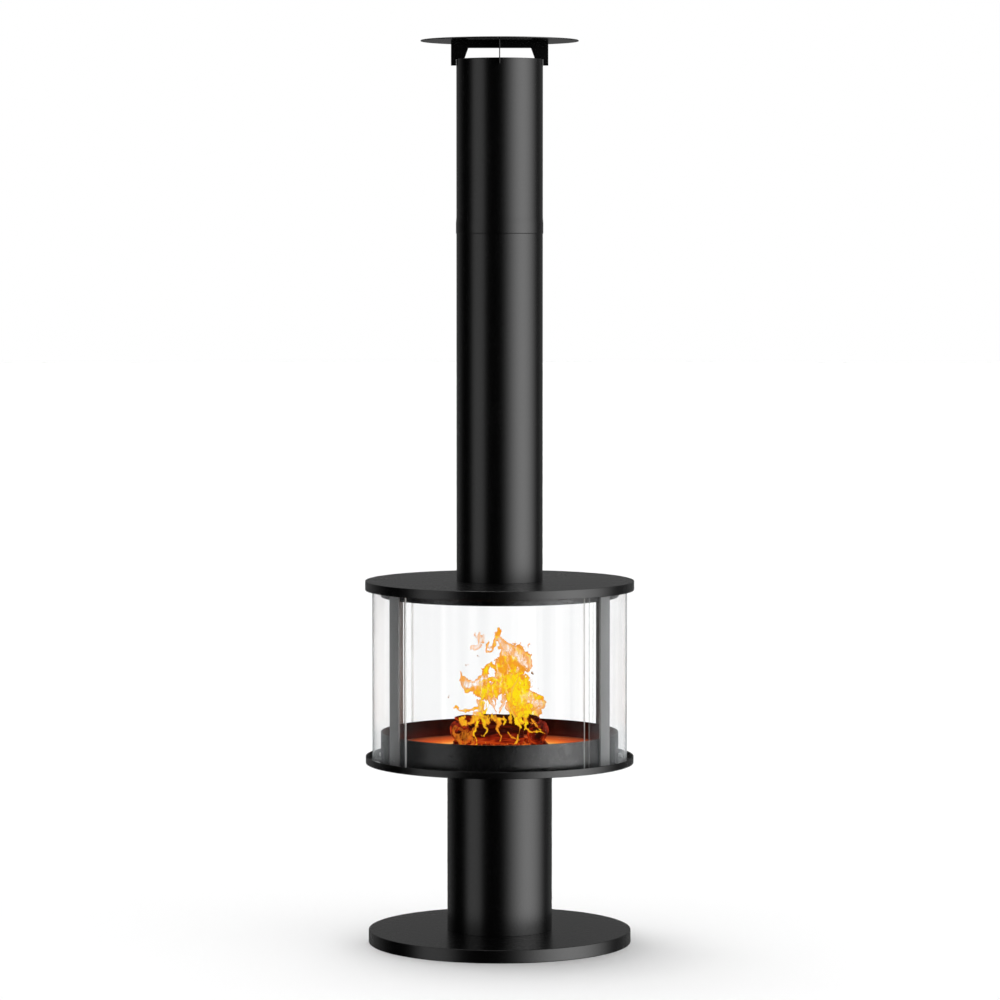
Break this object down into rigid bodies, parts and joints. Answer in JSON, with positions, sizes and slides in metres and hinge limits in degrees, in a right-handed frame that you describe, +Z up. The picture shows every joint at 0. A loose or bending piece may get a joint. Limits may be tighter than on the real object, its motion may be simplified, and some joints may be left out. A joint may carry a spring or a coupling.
{
  "type": "outdoor fireplace",
  "caption": "Free-standing round outdoor fireplace: disc foot, tube pedestal, fire bowl ringed by curved glass, disc hood, tall round flue with a flat rain cap.",
  "frame": {"origin": "on the ground under the axis of the flue, centre of the foot's underside", "axes": "+Z up along the flue, front of the fireplace towards -Y, +X to the right seen from the front"},
  "size_m": [0.7818, 0.7818, 2.6197],
  "materials": {
    "foot_and_frame_paint": "matt black heat-resistant coat on steel",
    "flue_paint": "matt black heat-resistant coat on thin steel pipe",
    "hearth_steel": "heat-stained bare black steel",
    "ballast_iron": "rough casting",
    "grate_iron": "rough casting",
    "zinc_fasteners": "zinc plate",
    "stainless_shoes": "brushed stainless",
    "fire_glass": "clear polished, ground edges",
    "burning_wood": "charred and glowing",
    "embers": "glowing embers and ash"
  },
  "bodies": {
    "stove": {"base_cover": "foot_and_frame_paint", "pedestal_tube": "foot_and_frame_paint", "tray": "foot_and_frame_paint", "bowl_wall": "foot_and_frame_paint", "hood_collar": "foot_and_frame_paint", "hood_plate": "foot_and_frame_paint", "hood_skirt": "foot_and_frame_paint", "post_front_right": "foot_and_frame_paint", "post_rear_right": "foot_and_frame_paint", "post_rear_left": "foot_and_frame_paint", "post_front_left": "foot_and_frame_paint", "glass_guide_inner": "foot_and_frame_paint", "glass_guide_outer": "foot_and_frame_paint", "pedestal_foot_flange": "foot_and_frame_paint", "pedestal_head_flange": "foot_and_frame_paint", "plate_ring": "foot_and_frame_paint", "grate_ring": "foot_and_frame_paint", "chimney_lower": "flue_paint", "chimney_upper": "flue_paint", "flue_spigot": "flue_paint", "fire_plate": "hearth_steel", "ballast_disc": "ballast_iron", "base_bolts": "zinc_fasteners", "tray_screws": "zinc_fasteners", "bowl_screws": "zinc_fasteners", "collar_screws": "zinc_fasteners", "pipe_screws": "zinc_fasteners"},
    "ash_pan": {"ash_pan": "hearth_steel", "ash_pan_grips": "hearth_steel"},
    "fire_grate": {"fire_grate": "grate_iron", "ember_bed": "embers", "log_front": "burning_wood", "log_back": "burning_wood", "log_left": "burning_wood", "log_right": "burning_wood", "log_top": "burning_wood", "branch_right": "burning_wood", "branch_left": "burning_wood"},
    "rain_cap": {"cap_disc": "foot_and_frame_paint", "cap_brace_x": "foot_and_frame_paint", "cap_brace_y": "foot_and_frame_paint"},
    "front_shoes": {"glass_shoes_front": "stainless_shoes"},
    "front_pane": {"glass_front": "fire_glass"},
    "right_shoes": {"glass_shoes_right": "stainless_shoes"},
    "right_pane": {"glass_right": "fire_glass"},
    "rear_shoes": {"glass_shoes_rear": "stainless_shoes"},
    "rear_pane": {"glass_rear": "fire_glass"},
    "left_shoes": {"glass_shoes_left": "stainless_shoes"},
    "left_pane": {"glass_left": "fire_glass"}
  },
  "joints": [
    {"name": "front_glass_turn", "type": "hinge", "parent": "stove", "child": "front_shoes", "pos_m": [0, 0, 0.53], "axis": [0, 0, 1], "continuous": true},
    {"name": "right_glass_turn", "type": "hinge", "parent": "stove", "child": "right_shoes", "pos_m": [0, 0, 0.53], "axis": [0, 0, 1], "continuous": true},
    {"name": "rear_glass_turn", "type": "hinge", "parent": "stove", "child": "rear_shoes", "pos_m": [0, 0, 0.53], "axis": [0, 0, 1], "continuous": true},
    {"name": "left_glass_turn", "type": "hinge", "parent": "stove", "child": "left_shoes", "pos_m": [0, 0, 0.53], "axis": [0, 0, 1], "continuous": true},
    {"name": "front_glass_lift", "type": "slide", "parent": "front_shoes", "child": "front_pane", "axis": [0, 0, 1], "range_m": [0, 0.0145]},
    {"name": "right_glass_lift", "type": "slide", "parent": "right_shoes", "child": "right_pane", "axis": [0, 0, 1], "range_m": [0, 0.0145]},
    {"name": "rear_glass_lift", "type": "slide", "parent": "rear_shoes", "child": "rear_pane", "axis": [0, 0, 1], "range_m": [0, 0.0145]},
    {"name": "left_glass_lift", "type": "slide", "parent": "left_shoes", "child": "left_pane", "axis": [0, 0, 1], "range_m": [0, 0.0145]},
    {"name": "ash_pan_lift", "type": "slide", "parent": "stove", "child": "ash_pan", "axis": [0, 0, 1], "range_m": [0, 0.045]},
    {"name": "grate_lift", "type": "slide", "parent": "ash_pan", "child": "fire_grate", "axis": [0, 0, 1], "range_m": [0, 0.05]},
    {"name": "cap_lift", "type": "slide", "parent": "stove", "child": "rain_cap", "axis": [0, 0, 1], "range_m": [0, 0.06]}
  ],
  "couplings": [
    {"joint": "right_glass_turn", "follows": "front_glass_turn", "ratio": 1},
    {"joint": "rear_glass_turn", "follows": "front_glass_turn", "ratio": 1},
    {"joint": "left_glass_turn", "follows": "front_glass_turn", "ratio": 1}
  ]
}
